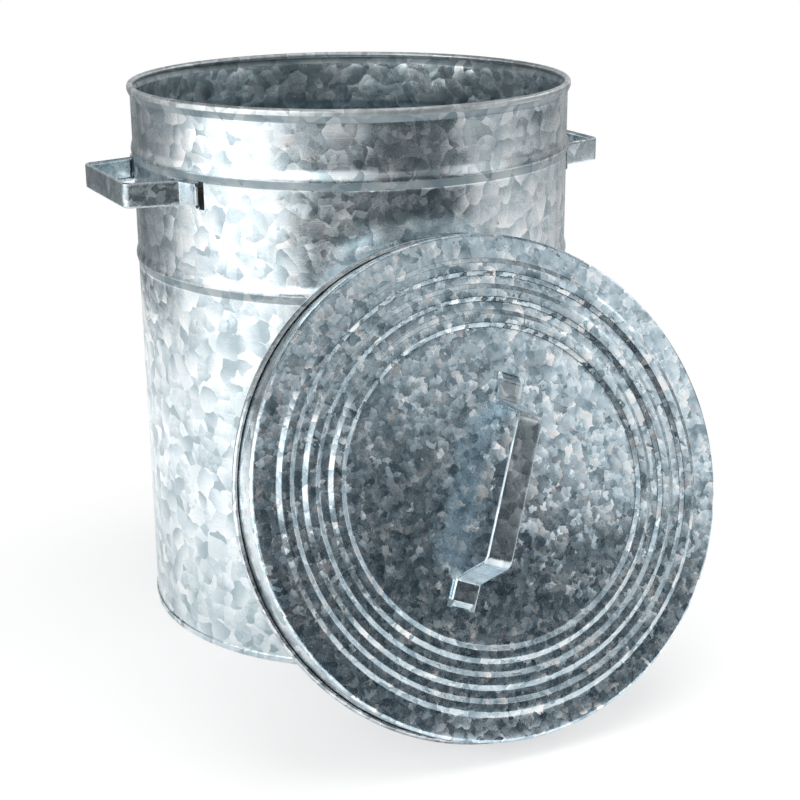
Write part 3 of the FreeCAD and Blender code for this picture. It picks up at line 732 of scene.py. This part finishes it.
def makeLid():
    corners = [(lid["crownFlat"], lid["crown"], lid["crownBlend"]), (crownRadius, 0, lid["edgeRound"])]
    half = lid["ridgeWidth"] / 2
    for index in range(lid["ridges"]):
        middle = skirtOut - lid["ridgeInset"] - lid["ridgePitch"] * (lid["ridges"] - 1 - index)
        corners += [(middle - half, 0, lid["ridgeRound"]),
                    (middle - half + lid["ridgeSlope"], lid["ridgeRise"], lid["ridgeRound"]),
                    (middle + half - lid["ridgeSlope"], lid["ridgeRise"], lid["ridgeRound"]),
                    (middle + half, 0, lid["ridgeRound"])]
    reach = can["rollAcross"] / 2 - can["steel"]
    low, high = -lid["skirtDepth"] - reach, -lid["skirtDepth"] + reach
    corners += [(skirtOut, 0, lid["edgeRound"]), (skirtOut, low, lid["rollIn"]),
                (rollCentre + reach, low, lid["rollIn"]), (rollCentre + reach, high, lid["rollIn"])]
    end = (skirtOut + can["steel"] + can["gap"], high)
    face = roundedPath((0, lid["crown"]), corners, end, lid["step"])
    slots = lidSlots()
    slotHalf = lid["slotWidth"] / 2
    for slot in slots:  # rows where each slot begins and ends
        for radius in (slot["radius"] - slotHalf, slot["radius"] + slotHalf):
            at = int(np.argmax(face[:, 0] > radius))
            part = (radius - face[at - 1, 0]) / (face[at, 0] - face[at - 1, 0])
            face = np.insert(face, at, face[at - 1] + (face[at] - face[at - 1]) * part, axis=0)
    slotEdges = [slot["turn"] + s * slot["spread"] for slot in slots for s in (-1, 1)]
    angles = columnsWith(lid["columns"], slotEdges)

    def opened(line, turns):
        middles = (line[:-1, 0] + line[1:, 0]) / 2
        centre = (turns + np.append(turns[1:], turns[0] + 360)) / 2
        holes = np.zeros((len(line) - 1, len(turns)), bool)
        for slot in slots:
            inRing = (np.abs(middles - slot["radius"]) < slotHalf) & (line[:-1, 1] > 0)
            away = (centre - slot["turn"] + 180) % 360 - 180
            holes |= inRing[:, None] & (np.abs(away) < slot["spread"])[None, :]
        return holes

    def moved(line, turns):
        # squares each slot up to its foot, and eases the sheet round it
        radius = np.repeat(line[:, 0][:, None], len(turns), axis=1)
        push = np.zeros((2,) + radius.shape)
        for slot in slots:
            away = (turns - slot["turn"] + 180) % 360 - 180
            near = np.clip(away, -slot["spread"], slot["spread"])
            inRing = np.clip(radius, slot["radius"] - slotHalf, slot["radius"] + slotHalf)
            spin = np.radians(slot["turn"] + near)
            out, side = slot["out"], np.array([-slot["out"][1], slot["out"][0]])
            sideways = near / slot["spread"] * lid["slotLength"] / 2
            gap = np.hypot(radius - inRing, np.radians(away - near) * radius)
            onTop = (line[:, 1] > -lid["easeDepth"])[:, None]
            ease = np.clip(1 - gap / lid["easeWidth"], 0, 1) ** 2 * onTop
            for axis, wave in ((0, np.cos(spin)), (1, np.sin(spin))):
                target = out[axis] * (inRing - slot["radius"]) + side[axis] * sideways
                push[axis] += (slot["centre"][axis] + target - inRing * wave) * ease
        return push

    def rowGroup(a, b):
        # the rolled edge is 1, the skirt 2, and the outer slope of each ridge 3, a little rougher and with
        # its tones darkened as painted shade
        curlTop = low + can["rollAcross"] / 2 + lid["curlRise"]
        if max(a[0], b[0]) > skirtOut + lid["nearCurl"] or max(a[1], b[1]) < curlTop:
            return 1
        if min(a[0], b[0]) > skirtOut - lid["nearSkirt"]:
            return 2
        falling = (a[1] - b[1]) * (b[0] - a[0]) > lid["steep"] * (b[0] - a[0]) ** 2
        return 3 if falling and (a[0] + b[0]) / 2 < skirtOut - lid["edgeRound"] * 2 else 0

    place = lidPlace()
    pan = spunPiece("lidPan", face, -can["steel"], angles, [lidSheet, curlSteel, skirtSheet, ridgeSlopePaintedShadeSheet],
                    rowGroup, opened, None, moved, place)
    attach(pan, "lid")
    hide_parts("lid_pan")
    makeRing("lidRimWire", rollCentre, -lid["skirtDepth"], "lid_rim_wire", "lid", place)
    offCentre = Matrix.Translation((-lid["across"] * mm, -lid["along"] * mm, 0))
    onLid = (place @ Matrix.Rotation(-math.radians(lid["turn"]), 4, "Z") @ offCentre
             @ Matrix.Rotation(-math.pi / 2, 4, "Y"))
    bend, tip = ((crownHeight(reach - lid["along"]) + sideHandle["gap"], reach)
                 for reach in (lid["footStart"], lid["footStart"] + lid["footLength"]))
    strapHandle("lidHandle", lid["standoff"] - strap["hem"] * 2, lid["gripHalf"] - strap["hem"] * 2,
                bend, tip, lid["drop"], onLid, "lid_handle", "lid")


makeLid()
print("lid made")


# floor, world and lamps, in metres

studio = {
    "floor": 0.9, "reach": 14.0, "world": 0.6,
    "shadow": 0.4, "shadowFrom": 0.325, "shadowTo": 0.65,  # the floor turns to plain white in between
    "lamps": [  # name, place, what it points at, size and power
        ("leftSoft", (-1.7, -0.9, 1.5), (0, 0, 0.25), 2.2, 16.0),
        ("leftLow", (-2.18, -0.19, 0.45), (0, 0, 0.2), 1.6, 8.0),
        ("topSoft", (0.3, -0.3, 2.4), (0, 0, 0.1), 1.8, 32.0),
        ("rightSoft", (2.0, -0.2, 1.2), (0, 0, 0.25), 1.2, 8.0),
    ],
}


def aimAt(thing, target):
    thing.rotation_mode = "QUATERNION"
    thing.rotation_quaternion = (Vector(target) - thing.location).to_track_quat("-Z", "Y")


def makeFloor():
    mesh = bpy.data.meshes.new("studioFloor")
    r = studio["reach"]
    mesh.from_pydata([(-r, -r, 0), (r, -r, 0), (r, r, 0), (-r, r, 0)], [], [(0, 1, 2, 3)])
    floor = bpy.data.objects.new("studioFloor", mesh)
    bpy.context.collection.objects.link(floor)
    material = bpy.data.materials.new("paleFloor")
    finish = Finish(material)
    away = finish.vector("LENGTH", finish.add("ShaderNodeNewGeometry", output="Position"))
    far = finish.spread(away, studio["shadowFrom"], studio["shadowTo"], 1 - studio["shadow"], 1.0)
    seen = finish.add("ShaderNodeLightPath")["Is Camera Ray"] * far
    plain = finish.add("ShaderNodeBsdfDiffuse", {}, {"Color": grey(studio["floor"])})
    white = finish.add("ShaderNodeEmission", {}, {"Color": grey(1), "Strength": 1.0})
    shader = finish.add("ShaderNodeMixShader", {}, {0: seen, 1: plain, 2: white})
    finish.add("ShaderNodeOutputMaterial", {}, {"Surface": shader})
    mesh.materials.append(material)


def makeWorld():
    world = bpy.data.worlds.new("softStudio")
    bpy.context.scene.world = world
    finish = Finish(world)
    rays = finish.add("ShaderNodeLightPath")
    seen = rays["Is Camera Ray"].orMore(rays["Is Glossy Ray"]).orMore(rays["Is Transmission Ray"])
    dim = finish.add("ShaderNodeBackground", {}, {"Color": grey(1), "Strength": studio["world"]})
    white = finish.add("ShaderNodeBackground", {}, {"Color": grey(1), "Strength": 1.0})
    shader = finish.add("ShaderNodeMixShader", {}, {0: seen, 1: dim, 2: white})
    finish.add("ShaderNodeOutputWorld", {}, {"Surface": shader})


def makeLamps():
    for name, place, target, size, power in studio["lamps"]:
        lamp = bpy.data.lights.new(name, "AREA")
        lamp.shape = "DISK"
        lamp.size = size
        lamp.energy = power
        piece = bpy.data.objects.new(name, lamp)
        piece.location = place
        bpy.context.collection.objects.link(piece)
        aimAt(piece, target)


# cards round the object that only the metal's reflections see, as the unlit parts of a studio:
# a low fence near the floor and a dome over it. Angles run from -Y towards +X in degrees, and
# each one is followed by how much of the white is hidden there.
cards = {
    "tint": (0.45, 0.76, 1.0, 1), "level": 0.04, "columns": 121,
    "fenceRadius": 0.88, "fenceHeight": 0.32, "fenceLift": 0.002, "fenceRows": 6,
    "fenceFoot": (0.03, 0.06), "fenceTop": (0.24, 0.32),  # metres over which it fades in and out
    "fence": [(-180, 0.6), (-158, 0.8), (-128, 0.6), (-108, 0.04), (-58, 0.0), (-44, 1.0), (26, 1.0),
              (38, 0.4), (60, 0.35), (110, 0.5), (180, 0.55)],
    "domeRadius": 1.15, "domeFrom": 0.1, "domeTo": 89.9, "domeRows": 40,
    "domeFoot": (0.16, 0.26), "domeTop": (0.45, 0.72),  # shares of its radius above the floor
    "dome": [(-180, 0.5), (-158, 0.7), (-128, 0.5), (-108, 0.04), (-24, 0.0), (-10, 0.98), (17, 0.94),
             (27, 0.04), (46, 0.12), (66, 0.8), (96, 0.8), (118, 0.4), (180, 0.5)],
    "roof": [(0.0, 0.0), (0.58, 0.0), (0.74, 0.85), (1.0, 0.9)],  # the same shares, and what is hidden
}


def turnShare(turn):
    # -180 to 180 degrees as 0 to 1
    return turn / 360 + 0.5


def makeCard(name, radius, points, levels, coverFrom):
    # points are (share of radius, height) up the card, and levels go into its texture coordinates
    turns = np.linspace(-180, 180, cards["columns"])
    verts = [(share * radius * math.sin(turn), -share * radius * math.cos(turn), z)
             for share, z in points for turn in np.radians(turns)]
    count = len(turns)
    faces = [(row * count + k, row * count + k + 1, (row + 1) * count + k + 1, (row + 1) * count + k)
             for row in range(len(points) - 1) for k in range(count - 1)]
    mesh = bpy.data.meshes.new(name)
    mesh.from_pydata(verts, [], faces)
    layer = mesh.uv_layers.new(name="place")
    for loop in mesh.loops:
        row, column = divmod(loop.vertex_index, count)
        layer.data[loop.index].uv = (turnShare(turns[column]), levels[row])
    card = bpy.data.objects.new(name, mesh)
    bpy.context.collection.objects.link(card)
    material = bpy.data.materials.new(name)
    finish = Finish(material)
    place = finish.add("ShaderNodeSeparateXYZ", {}, {0: finish.add("ShaderNodeTexCoord", output="UV")})
    dark = finish.add("ShaderNodeEmission", {}, {"Color": cards["tint"], "Strength": cards["level"]})
    clear = finish.add("ShaderNodeBsdfTransparent")
    cover = coverFrom(finish, place["X"], place["Y"])
    shader = finish.add("ShaderNodeMixShader", {}, {0: cover, 1: clear, 2: dark})
    finish.add("ShaderNodeOutputMaterial", {}, {"Surface": shader})
    mesh.materials.append(material)
    card.visible_camera = False
    card.visible_diffuse = False
    card.visible_shadow = False
    card.visible_transmission = False


def makeCards():
    def hiddenRound(finish, turn, key):
        return finish.ramp(turn, [(turnShare(angle), grey(hidden)) for angle, hidden in cards[key]])

    def fenceCover(finish, turn, height):
        fade = 1 - finish.spread(height, *cards["fenceTop"])
        fade = fade * finish.spread(height, *cards["fenceFoot"])
        return hiddenRound(finish, turn, "fence") * fade

    def domeCover(finish, turn, height):
        sides = hiddenRound(finish, turn, "dome")
        sides = sides * finish.spread(height, *cards["domeFoot"])
        sides = sides * (1 - finish.spread(height, *cards["domeTop"]))
        roof = finish.ramp(height, [(level, grey(hidden)) for level, hidden in cards["roof"]])
        return sides.orMore(roof)

    heights = np.linspace(cards["fenceLift"], cards["fenceHeight"], cards["fenceRows"])
    makeCard("studioFence", cards["fenceRadius"], [(1, z) for z in heights], heights, fenceCover)
    rises = np.radians(np.linspace(cards["domeFrom"], cards["domeTo"], cards["domeRows"]))
    r = cards["domeRadius"]
    makeCard("studioDome", r, [(math.cos(a), r * math.sin(a)) for a in rises], np.sin(rises), domeCover)


makeFloor()
makeWorld()
makeLamps()
makeCards()
print("studio made")


# the camera, in metres and degrees: azimuth is the way to it from the object, and aim, down and roll
# are how it points. pixels is its focal length on a frame that is frameWidth pixels across.
view = {
    "distance": 1.2474, "azimuth": 25.6, "height": 0.5716, "aim": 27.29, "down": 18.54, "roll": -0.39,
    "pixels": 1627.6, "frameWidth": 800, "sensor": 36.0, "near": 0.05, "far": 60.0,
}


def makeCamera():
    side, aim, down, roll = (math.radians(view[key]) for key in ("azimuth", "aim", "down", "roll"))
    ahead = Vector((math.sin(aim) * math.cos(down), math.cos(aim) * math.cos(down), -math.sin(down)))
    right = ahead.cross(Vector((0, 0, 1))).normalized()
    up = right.cross(ahead)
    across = math.cos(roll) * right + math.sin(roll) * up
    upward = -math.sin(roll) * right + math.cos(roll) * up
    away = view["distance"]
    place = Vector((-away * math.sin(side), -away * math.cos(side), view["height"]))
    cameraData = bpy.data.cameras.new("camera")
    cameraData.sensor_fit = "HORIZONTAL"
    cameraData.sensor_width = view["sensor"]
    cameraData.lens = view["pixels"] * view["sensor"] / view["frameWidth"]
    cameraData.clip_start = view["near"]
    cameraData.clip_end = view["far"]
    camera = bpy.data.objects.new("camera", cameraData)
    bpy.context.collection.objects.link(camera)
    turn = Matrix((across, upward, -ahead)).transposed().to_4x4()
    camera.matrix_world = Matrix.Translation(place) @ turn
    bpy.context.scene.camera = camera


makeCamera()
bpy.context.scene.view_settings.view_transform = "Standard"
